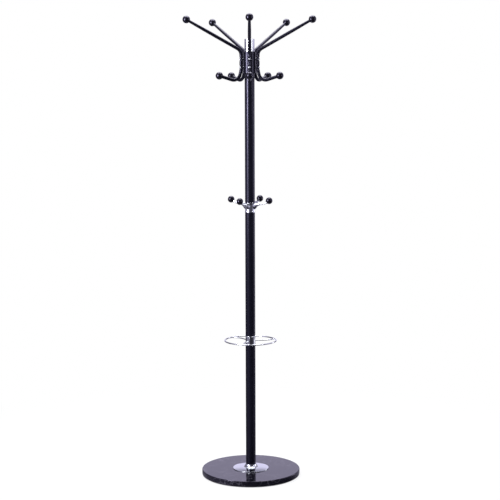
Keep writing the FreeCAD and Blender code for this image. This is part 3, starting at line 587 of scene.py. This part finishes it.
def make_post():
    """Three coated tubes and the chromed top tube: ring sections with eased ends."""
    for name, cad, coat, slot in (
        ("lower_tube_coated", "post_lower_tube", black_coat, "black_enamel"),
        ("middle_tube_coated", "post_middle_tube", black_coat, "black_enamel"),
        ("upper_tube_coated", "post_upper_tube", black_coat, "black_enamel"),
        ("top_tube_chromed", "top_tube", chrome, "chrome_plate"),
    ):
        low, high, radius = span(cad)
        outline = eased([
            (POST_BORE, low, 0.2), (radius, low, 0.35), (radius, high, 0.35),
            (POST_BORE, high, 0.2),
        ])
        piece(name, [turned(outline)], coat, [cad])
    low, high, radius = span("top_cap")
    seat = low + CAP_SKIRT
    skirt = POST_BORE - CAP_GAP
    inside = skirt - CAP_SHEET
    outline = eased([
        (0, seat, 0), (inside, seat, 0.2), (inside, low, 0.2), (skirt, low, 0.2),
        (skirt, seat, 0.1), (radius, seat, 0.15), (radius, high, CAP_EDGE), (0, high, 0),
    ])
    piece("top_cap_pressed", [turned(outline, ring=False)], chrome, ["top_cap"])


# ------------------------------------------------------------------ umbrella ring


def collar_outline(low, high, radius):
    """Section of a collar: a plain bead at each end and a shallow waist between them."""
    return eased([
        (COLLAR_BORE, low, 0.3), (radius, low, COLLAR_EDGE), (radius, low + 4.6, 1.0),
        (radius - COLLAR_WAIST, low + 6.6, 1.6), (radius - COLLAR_WAIST, high - 5.4, 1.6),
        (radius, high - 3.4, 1.0), (radius, high, COLLAR_EDGE), (COLLAR_BORE, high, 0.3),
    ])


def wire(path, radius, up, columns=ROUND_WIRE):
    """Round wire along a level path: point = path + side * r cos a + up * r sin a."""
    slope = np.gradient(path, axis=0)
    slope /= np.linalg.norm(slope, axis=1)[:, None]
    side = np.stack([slope[:, 1], -slope[:, 0]], 1)
    angle = np.linspace(0, 2 * math.pi, columns, endpoint=False)
    radius = np.broadcast_to(radius, len(path))[:, None]
    flat = path[:, None] + side[:, None] * (radius * np.cos(angle))[..., None]
    rise = up + radius * np.sin(angle)
    return np.stack([flat[..., 0], flat[..., 1], rise], -1)


def make_umbrella_ring():
    """Collar, ring and three S-bent spokes, each with a small weld bead at the ring."""
    low, high, radius = span("umbrella_collar")
    outline = collar_outline(low, high, radius)
    piece("umbrella_collar_turned", [turned(outline)], chrome, ["umbrella_collar"])
    low, high, radius = span("umbrella_ring")
    middle = (low + high) / 2
    angle = np.linspace(0, 2 * math.pi, ROUND_WIRE, endpoint=False)
    ring_axis = radius - RING_WIRE / 2
    section = np.stack(
        [ring_axis + RING_WIRE / 2 * np.cos(angle), middle + RING_WIRE / 2 * np.sin(angle)], 1
    )
    piece("umbrella_ring_bent", [turned(section, 240)], chrome, ["umbrella_ring"])
    swing = math.radians(SPOKE_SWING)
    first = np.array([SPOKE_STRAIGHT, 0.0])
    turn_point = first + SPOKE_BEND * np.array([math.sin(swing), math.cos(swing) - 1])
    centre = turn_point + SPOKE_BEND * np.array([math.sin(swing), math.cos(swing)])
    sweep = np.linspace(-swing, math.pi / 2, 400)
    trial = centre + SPOKE_BEND * np.stack([np.sin(sweep), -np.cos(sweep)], 1)
    inside = ring_axis - RING_WIRE / 2
    second = trial[np.linalg.norm(trial, axis=1) < inside - 0.6]
    path = chain(
        line((SPOKE_ROOT, 0), first, 2.0), arc(first, turn_point, SPOKE_BEND, -1, 14),
        second[::5],
    )
    from_end = np.linalg.norm(path - path[-1], axis=1)
    bead = SPOKE_WIRE / 2 * (1 + 0.32 * np.exp(-(from_end / 2.2) ** 2))
    for index in range(SPOKE_COUNT):
        local = wire(path, bead, middle, 28)
        turn = SPOKE_TURN + 360.0 / SPOKE_COUNT * index
        piece("umbrella_spoke_bent_%d" % (index + 1), [shell(to_azimuth(local, turn))], chrome,
              ["umbrella_spoke_%d" % (index + 1)])


# ------------------------------------------------------------------ hooks


def ball_on(centre, direction, radius, socket, seat):
    """Ball with a blind socket: circle arc from the far pole to the mouth, then the bore."""
    mouth = math.sqrt(radius ** 2 - (socket + SOCKET_MOUTH) ** 2)
    angle = np.linspace(BALL_POLE, math.pi - math.atan2(socket + SOCKET_MOUTH, mouth), 44)
    skin = np.stack([radius * np.cos(angle), radius * np.sin(angle)], 1)
    bore = np.array([
        [-mouth + SOCKET_MOUTH, socket], [seat - SOCKET_EASE, socket],
        [seat, socket - SOCKET_EASE], [seat, SOCKET_POLE],
    ])
    outline = np.concatenate([skin, bore])
    return shell(turned_on(outline, centre, direction, 56))


def make_hooks():
    """Cast collar with four horns, oval at the root and round where the balls screw on."""
    low = span("post_middle_tube")[1]
    high = span("post_upper_tube")[0]
    shells = [turned(collar_outline(low, high, HOOK_COLLAR_RADIUS))]
    lean = math.radians(HOOK_LEAN)
    stand = HOOK_BALL + HOOK_STAND
    tip = np.array([HOOK_REACH - stand * math.cos(lean), HOOK_HEIGHT - stand * math.sin(lean)])
    stations = np.array([*HORN_STATIONS, (*tip, HORN_TIP, HORN_TIP)])
    run = np.linspace(0, 1, HORN_ROWS)
    spacing = np.linspace(0, 1, len(stations))
    reach, middle, deep, wide = (
        smooth_through(run, spacing, column) for column in stations.T
    )
    path = np.stack([reach, middle], 1)
    section = swept(path, deep[:, None], wide[:, None], 48)
    axis = np.array([math.cos(lean), math.sin(lean)])
    peg_path = line(tip - axis, tip + axis * (HOOK_PEG_LENGTH - 0.2), 1.0)
    peg = swept(peg_path, np.array([[HOOK_PEG]]), np.array([[HOOK_PEG]]), 28)
    for index in range(HOOK_COUNT):
        turn = HOOK_TURN + 360.0 / HOOK_COUNT * index
        shells += [shell(to_azimuth(section, turn, low)), shell(to_azimuth(peg, turn, low))]
    piece("hook_collar_cast", shells, chrome, ["hook_collar"])
    out = np.array([math.cos(lean), 0.0, math.sin(lean)])
    seat = HOOK_PEG_LENGTH + BALL_GAP - HOOK_STAND - HOOK_BALL
    for index in range(HOOK_COUNT):
        turn = HOOK_TURN + 360.0 / HOOK_COUNT * index
        centre = to_azimuth(np.array([HOOK_REACH, 0.0, HOOK_HEIGHT]), turn, low)
        made = ball_on(centre, to_azimuth(out, turn), HOOK_BALL, HOOK_PEG + BALL_GAP, seat)
        piece("hook_ball_moulded_%d" % (index + 1), [made], ball_finish,
              ["hook_ball_%d" % (index + 1)])


# ------------------------------------------------------------------ hub and arms


def arm_path():
    """Centre line of an arm in the radial plane, from the upper ball down to the low ball."""
    rise, low_rise = math.radians(ARM_RISE), math.radians(LOW_RISE)
    top = np.array([
        ARM_REACH - BALL_SEAT * math.cos(rise), ARM_HEIGHT - BALL_SEAT * math.sin(rise)
    ])
    corner = ARM_HEIGHT - (ARM_REACH - ARM_AXIS) * math.tan(rise)
    trim = ARM_BEND * math.tan((math.pi / 2 - rise) / 2)
    bend_out = np.array([ARM_AXIS + trim * math.cos(rise), corner + trim * math.sin(rise)])
    bend_in = np.array([ARM_AXIS, corner - trim])
    ease_in = np.array([ARM_AXIS, LOW_SWEEP_START])
    ease_centre = ease_in + [LOW_SWEEP, 0]
    end = np.array([
        LOW_REACH - BALL_SEAT * math.cos(low_rise), LOW_HEIGHT - BALL_SEAT * math.sin(low_rise)
    ])
    along = np.array([math.cos(low_rise), math.sin(low_rise)])
    above = np.array([-along[1], along[0]])
    anchor = end + above * LOW_BEND
    offset = anchor - ease_centre
    half = offset @ along
    root = math.sqrt(half ** 2 - offset @ offset + (LOW_SWEEP - LOW_BEND) ** 2)
    crook = anchor - along * (half + root)
    outward = (crook - ease_centre) / np.linalg.norm(crook - ease_centre)
    join = crook + outward * LOW_BEND
    foot = crook - above * LOW_BEND
    return chain(
        line(top, bend_out, 3.0), arc(bend_out, bend_in, ARM_BEND, 1, 22),
        line(bend_in, ease_in, 0.7), arc(ease_in, join, LOW_SWEEP, 1, 24),
        arc(join, foot, LOW_BEND, 1, 34), line(foot, end, 2.5),
    )


def arm_section(path):
    """Depth and width of the tube at each row and angle.

    The upper end tapers from full size to its tip between the taper's start and the ball.
    Near a screw the outer wall is pressed to a flat with round flanks: the depth is the soft
    minimum -k log(exp(-a/k) + exp(-b/k)) of the round tube a and the pressed line b, and the
    sides swell by a few hundredths where the metal has gone.
    """
    from_top = np.linalg.norm(path - path[0], axis=1) + BALL_SEAT
    share = np.clip((ARM_TAPER - from_top) / (ARM_TAPER - BALL), 0, 1)
    radius = ARM_RADIUS - np.where(path[:, 1] > 0, share, 0) * (ARM_RADIUS - ARM_TIP)
    angle = np.linspace(0, 2 * math.pi, ROUND_WIRE, endpoint=False)
    facing_out = radius[:, None] * np.cos(angle)
    beside_hub = np.abs(path[:, 0] - ARM_AXIS) < 1.5
    nearest = np.min([np.abs(path[:, 1] - height) for height in SCREW_HEIGHTS], axis=0)
    nearest = np.where(beside_hub, nearest, ARM_REACH)
    past_flat = np.clip(nearest - SEAT_FLAT, 0, SEAT_FLANK)
    pressed = ARM_RADIUS - SEAT_DEPTH + SEAT_FLANK - np.sqrt(SEAT_FLANK ** 2 - past_flat ** 2)
    k = SEAT_SOFTNESS
    soft = -k * np.log(np.exp(-facing_out / k) + np.exp(-pressed[:, None] / k))
    near = (nearest < SEAT_FLAT + SEAT_FLANK)[:, None]
    outward = np.where(near, soft, facing_out)
    swell = 1 + 0.05 * np.exp(-(nearest / 6.0) ** 2)
    return outward, radius[:, None] * swell[:, None] * np.sin(angle)


def make_arms():
    """Five bent tubes with a ball at each end."""
    low, high, _ = span("hub_sleeve")
    middle = (low + high) / 2
    path = arm_path()
    local = carried(path, *arm_section(path))
    rise, low_rise = math.radians(ARM_RISE), math.radians(LOW_RISE)
    for index in range(ARM_COUNT):
        number = index + 1
        turn = 360.0 / ARM_COUNT * index
        piece("arm_coated_%d" % number, [shell(to_azimuth(local, turn, middle))], black_coat,
              ["arm_%d" % number])
        for name, cad, reach, height, slant, socket in (
            ("arm_ball_moulded_%d", "arm_ball_%d", ARM_REACH, ARM_HEIGHT, rise, ARM_TIP),
            ("crook_ball_moulded_%d", "crook_ball_%d", LOW_REACH, LOW_HEIGHT, low_rise,
             ARM_RADIUS),
        ):
            centre = to_azimuth(np.array([reach, 0.0, height]), turn, middle)
            out = to_azimuth(np.array([math.cos(slant), 0.0, math.sin(slant)]), turn)
            made = ball_on(centre, out, BALL, socket + BALL_GAP, -BALL_SEAT + BALL_GAP)
            piece(name % number, [made], ball_finish, [cad % number])


def make_hub():
    """Sleeve with rounded ends over the top of the post."""
    low, high, radius = span("hub_sleeve")
    outline = eased([
        (HUB_BORE, low, 0.3), (radius, low, HUB_EDGE), (radius, high, HUB_EDGE),
        (HUB_BORE, high, 0.3),
    ], steps=8)
    piece("hub_sleeve_coated", [turned(outline)], black_coat, ["hub_sleeve"])


def make_screws():
    """Button-head screws with a hexagon socket, and the bushes behind the arms.

    The socket's wall follows r = flat / cos(((a + 30) mod 60) - 30) round the axis.
    """
    low, high, hub_radius = span("hub_sleeve")
    middle = (low + high) / 2
    seat = ARM_AXIS + ARM_RADIUS - SEAT_DEPTH
    columns = 48
    angle = np.linspace(0, 2 * math.pi, columns, endpoint=False)
    sixth = math.pi / 3
    hexagon = SOCKET_FLAT / np.cos((angle + sixth / 2) % sixth - sixth / 2)
    crown_angle = np.linspace(0, 1, 12)[:, None] * math.pi / 2
    flat = 1 + 0 * angle
    crown_start = SOCKET_FLAT * 1.25
    crown_out = crown_start + (SCREW_HEAD - crown_start) * np.sin(crown_angle)
    crown_up = SCREW_SIDE + (SCREW_HEAD_HEIGHT - SCREW_SIDE) * np.cos(crown_angle)
    out = np.concatenate([
        SCREW_POLE * flat[None], 0.96 * hexagon[None], hexagon[None], 1.04 * hexagon[None],
        crown_out * flat, (SCREW_HEAD * flat)[None], (SCREW_SHANK * flat)[None],
        (SCREW_SHANK * flat)[None], (SCREW_POINT_RADIUS * flat)[None],
        (SCREW_POLE * flat)[None],
    ])
    floor = SCREW_HEAD_HEIGHT - SOCKET_DEPTH
    along = np.concatenate([
        [[floor], [floor], [SCREW_HEAD_HEIGHT - 0.15], [SCREW_HEAD_HEIGHT]], crown_up,
        [[0.0], [0.0], [SCREW_POINT - SCREW_LENGTH], [-SCREW_LENGTH], [-SCREW_LENGTH]],
    ])
    screw_shells, bush_shells = [], []
    bush = eased([
        (0.0, SPACER_BORE, 0.2), (0.0, SPACER_RADIUS, 0.3),
        (SPACER_LENGTH, SPACER_RADIUS, 0.3), (SPACER_LENGTH, SPACER_BORE, 0.2),
    ], support=0.2)
    for index in range(ARM_COUNT):
        turn = 360.0 / ARM_COUNT * index
        for height in SCREW_HEIGHTS:
            local = np.stack([
                seat + along + 0 * out, out * np.cos(angle), height + out * np.sin(angle)
            ], -1)
            screw_shells.append(shell(to_azimuth(local, turn, middle)))
            start = to_azimuth(np.array([hub_radius, 0.0, height]), turn, middle)
            out_way = to_azimuth(np.array([1.0, 0.0, 0.0]), turn)
            bush_shells.append(shell(turned_on(bush, start, out_way, 40), ring=True))
    piece("arm_screws_chromed", screw_shells, chrome, ["arm_screws"], 30.0)
    piece("arm_bushes_chromed", bush_shells, chrome, ["arm_spacers"])


make_foot()
make_post()
make_umbrella_ring()
make_hooks()
make_hub()
make_arms()
make_screws()

# Plugs, studs, bolt, washer and coupler keep their CAD shape inside the post and foot.
INNER = (
    "base_bolt", "base_washer", "foot_plug", "lower_stud", "lower_top_plug",
    "middle_bottom_plug", "middle_top_plug", "upper_stud", "upper_bottom_plug", "top_coupler",
)
for inner in INNER:
    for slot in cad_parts[inner].material_slots:
        slot.material = zinc

# ------------------------------------------------------------------ floor and light

# Painted brightness of the glowing cloth seen in reflections, in front, beside and behind, and
# its share at the floor, where it is painted dimmer.
CLOTH_DARK = 0.12
CLOTH_GREY = 0.3
CLOTH_PALE = 0.8
CLOTH_FLOOR = 0.35
# Azimuth, narrowness and brightness of the paler stretches beside the lamps: painted glows that
# stand in for the lamps' light on the cloth.
CLOTH_PAINTED_GLOWS = ((-58.0, 0.6, 0.95), (100.0, 0.7, 0.8))
# Lengths from here on are metres. The cloth runs out level from the stone's edge and then
# rises as a quarter circle; its painted pale part fades between two heights.
CLOTH_RUN = (0.195, 0.6, 1.5, 3.5)
CLOTH_RADIUS = 7.5
CLOTH_COLUMNS = 96
CLOTH_FADE = (2.1, 4.4)
FLOOR_RINGS = (0.6, 2.0, 8.0, 40.0)
FLOOR_COLUMNS = 96
# Name, azimuth, distance, height, width, length, watts and the point that it faces.
LAMPS = (
    ("overhead_softbox", 180, 1.1, 3.3, 2.2, 3.0, 105, (0, 1.1, 1.2)),
    ("left_strip", -51.5, 2.4, 1.8, 0.6, 1.0, 46, (0, 0, 1.6)),
    ("left_strip_low", -51.5, 2.5, 1.25, 0.6, 1.0, 15, (0, 0, 1.3)),
    ("right_fill", 58, 2.6, 1.7, 0.4, 0.6, 4, (0, 0, 1.5)),
    ("right_rear_panel", 117, 2.5, 0.72, 0.5, 1.35, 6, (0, 0, 0.8)),
)
LAMP_TINT = (0.96, 0.95, 1.0)
CAMERA_LENS = 99.22
CAMERA_PLACE = (-0.00064, -5.2465, 1.51665)
CAMERA_TILT = 83.095
CAMERA_ROLL = -0.0034


def seen_rays(tree):
    """1 for camera, glossy and transmission rays, 0 for the rest."""
    rays = node(tree, "ShaderNodeLightPath").outputs
    pair = node(tree, "ShaderNodeMath", {"operation": "MAXIMUM"},
                in0=rays["Is Camera Ray"], in1=rays["Is Glossy Ray"])
    return node(tree, "ShaderNodeMath", {"operation": "MAXIMUM"},
                in0=pair.outputs[0], in1=rays["Is Transmission Ray"]).outputs[0]


def link_stage(name, mesh, material):
    """An object of the studio, which isn't part of the rack."""
    made = bpy.data.objects.new(name, mesh)
    made.data.materials.append(material)
    bpy.context.scene.collection.objects.link(made)
    return made


def make_floor():
    """Pale floor disc that keeps a soft shadow near the foot and fades to white beyond."""
    made, tree = finish("pale_studio_floor")
    where = node(tree, "ShaderNodeTexCoord").outputs["Object"]
    away = node(tree, "ShaderNodeVectorMath", {"operation": "LENGTH"}, in0=where)
    fade = node(tree, "ShaderNodeMapRange", {"interpolation_type": "SMOOTHSTEP"},
                Value=away.outputs["Value"], From_Min=0.3, From_Max=1.6, To_Min=0.82, To_Max=1.0)
    share = node(tree, "ShaderNodeMath", {"operation": "MULTIPLY"}, in0=fade.outputs[0],
                 in1=seen_rays(tree))
    matt = node(tree, "ShaderNodeBsdfDiffuse", Color=linear("#f6f6f8"))
    white = node(tree, "ShaderNodeEmission", Color=(1, 1, 1, 1), Strength=1.0)
    close(tree, node(tree, "ShaderNodeMixShader", in0=share.outputs[0], in1=matt.outputs[0],
                     in2=white.outputs[0]))
    angle = np.linspace(0, 2 * math.pi, FLOOR_COLUMNS, endpoint=False)
    rings = np.array(FLOOR_RINGS)[:, None]
    rim = np.stack([rings * np.cos(angle), rings * np.sin(angle), 0 * rings * angle], -1)
    vertices = np.concatenate([rim.reshape(-1, 3), [[0, 0, 0]]])
    step = np.arange(FLOOR_COLUMNS)
    after = (step + 1) % FLOOR_COLUMNS
    middle = np.full(FLOOR_COLUMNS, len(vertices) - 1)
    faces = np.stack([middle, step, after], 1).tolist()
    for ring in range(len(FLOOR_RINGS) - 1):
        inner, outer = ring * FLOOR_COLUMNS, (ring + 1) * FLOOR_COLUMNS
        faces += np.stack([inner + step, outer + step, outer + after, inner + after], 1).tolist()
    mesh = bpy.data.meshes.new("studio_floor")
    mesh.from_pydata(vertices.tolist(), [], faces)
    link_stage("studio_floor", mesh, made)


def make_studio_cloth():
    """Glowing cloth tent round the set, seen only in reflections, with painted light: dark in
    front, pale behind.

    Outline (radius, height) spun about the post: level just over the floor, then a quarter
    circle up to the zenith. Its painted brightness follows c = y / sqrt(x^2 + y^2).
    """
    made, tree = finish("studio_cloth")
    where = node(tree, "ShaderNodeTexCoord").outputs["Object"]
    level = node(tree, "ShaderNodeVectorMath", {"operation": "MULTIPLY"}, in0=where,
                 in1=(1, 1, 0))
    heading = node(tree, "ShaderNodeVectorMath", {"operation": "NORMALIZE"},
                   in0=level.outputs[0])
    behind = node(tree, "ShaderNodeSeparateXYZ", Vector=heading.outputs[0]).outputs["Y"]
    up = node(tree, "ShaderNodeSeparateXYZ", Vector=where).outputs["Z"]
    # painted brightness of the glowing cloth: dark in front, grey beside, pale behind
    grey = node(tree, "ShaderNodeMapRange", {"interpolation_type": "SMOOTHSTEP"},
                Value=behind, From_Min=-0.1, From_Max=0.8, To_Min=CLOTH_DARK, To_Max=CLOTH_GREY)
    pale = node(tree, "ShaderNodeMapRange", {"interpolation_type": "SMOOTHSTEP"},
                Value=behind, From_Min=0.9, From_Max=0.96, To_Min=0.0, To_Max=CLOTH_PALE)
    below = node(tree, "ShaderNodeMapRange", {"interpolation_type": "SMOOTHSTEP"},
                 Value=up, From_Min=CLOTH_FADE[0], From_Max=CLOTH_FADE[1], To_Min=1.0,
                 To_Max=0.2)
    lower = node(tree, "ShaderNodeMath", {"operation": "MULTIPLY"}, in0=pale.outputs[0],
                 in1=below.outputs[0])
    both = node(tree, "ShaderNodeMath", {"operation": "ADD"}, in0=grey.outputs[0],
                in1=lower.outputs[0])
    # painted glows beside the lamps, added to the cloth's brightness
    for azimuth, narrow, bright in CLOTH_PAINTED_GLOWS:
        a = math.radians(azimuth)
        toward = node(tree, "ShaderNodeVectorMath", {"operation": "DOT_PRODUCT"},
                      in0=heading.outputs[0], in1=(math.sin(a), -math.cos(a), 0))
        painted_glow = node(tree, "ShaderNodeMapRange", {"interpolation_type": "SMOOTHSTEP"},
                    Value=toward.outputs["Value"], From_Min=narrow, From_Max=1.0,
                    To_Min=0.0, To_Max=bright)
        both = node(tree, "ShaderNodeMath", {"operation": "ADD"}, in0=both.outputs[0],
                    in1=painted_glow.outputs[0])
    # painted dimming of the cloth where it lies on the floor
    lift = node(tree, "ShaderNodeMapRange", Value=up, From_Min=0.0, From_Max=0.25,
                To_Min=CLOTH_FLOOR, To_Max=1.0)
    bright = node(tree, "ShaderNodeMath", {"operation": "MULTIPLY"}, in0=both.outputs[0],
                  in1=lift.outputs[0])
    close(tree, node(tree, "ShaderNodeEmission", Color=linear("#e6e0ff"),
                     Strength=bright.outputs[0]))
    columns = CLOTH_COLUMNS
    rise = np.radians(np.linspace(0, 90, 31))
    out = np.concatenate([CLOTH_RUN, CLOTH_RADIUS * np.cos(rise)])[:, None]
    height = np.concatenate([np.zeros(len(CLOTH_RUN)), CLOTH_RADIUS * np.sin(rise)])[:, None] + MM
    angle = np.linspace(0, 2 * math.pi, columns, endpoint=False)
    grid = np.stack([out * np.cos(angle), out * np.sin(angle), height + 0 * angle], -1)
    rows = len(out)
    r, c = np.meshgrid(np.arange(rows - 1), np.arange(columns), indexing="ij")
    c2 = (c + 1) % columns
    faces = np.stack([r * columns + c, r * columns + c2, r * columns + columns + c2,
                      r * columns + columns + c], -1)
    mesh = bpy.data.meshes.new("studio_cloth")
    mesh.from_pydata(grid.reshape(-1, 3).tolist(), [], faces.reshape(-1, 4).tolist())
    cloth = link_stage("studio_cloth", mesh, made)
    cloth.visible_camera = False
    cloth.visible_diffuse = False
    cloth.visible_shadow = False
    cloth.visible_transmission = False


def softbox(name, azimuth, distance, height, width, tall, watts, aim):
    """Rectangular lamp at an azimuth and distance, turned to face a point."""
    lamp = bpy.data.lights.new(name, "AREA")
    lamp.shape = "RECTANGLE"
    lamp.size, lamp.size_y = width, tall
    lamp.energy = watts
    lamp.color = LAMP_TINT
    made = bpy.data.objects.new(name, lamp)
    a = math.radians(azimuth)
    made.location = (distance * math.sin(a), -distance * math.cos(a), height)
    look = Vector(aim) - made.location
    made.rotation_euler = look.to_track_quat("-Z", "Y").to_euler()
    bpy.context.scene.collection.objects.link(made)


def make_light():
    """Overhead softbox, a strip on the left, a weak fill and a rear panel on the right."""
    for lamp in LAMPS:
        softbox(*lamp)
    world = bpy.data.worlds.new("white_studio")
    bpy.context.scene.world = world
    world.use_nodes = True
    tree = world.node_tree
    tree.nodes.clear()
    ambient = node(tree, "ShaderNodeBackground", Color=linear("#f4f4fa"), Strength=0.55)
    white = node(tree, "ShaderNodeBackground", Color=(1, 1, 1, 1), Strength=1.0)
    mixed = node(tree, "ShaderNodeMixShader", in0=seen_rays(tree), in1=ambient.outputs[0],
                 in2=white.outputs[0])
    node(tree, "ShaderNodeOutputWorld", Surface=mixed.outputs[0])


def make_camera():
    """Long lens at head height, looking slightly down on the whole rack."""
    camera = bpy.data.cameras.new("camera")
    camera.lens = CAMERA_LENS
    camera.sensor_width = 36.0
    made = bpy.data.objects.new("camera", camera)
    made.location = CAMERA_PLACE
    tilt = Matrix.Rotation(math.radians(CAMERA_TILT), 3, "X")
    roll = Matrix.Rotation(CAMERA_ROLL, 3, "Z")
    made.rotation_euler = (tilt @ roll).to_euler()
    bpy.context.scene.collection.objects.link(made)
    bpy.context.scene.camera = made


make_floor()
make_studio_cloth()
make_light()
make_camera()
bpy.context.scene.view_settings.view_transform = "Standard"
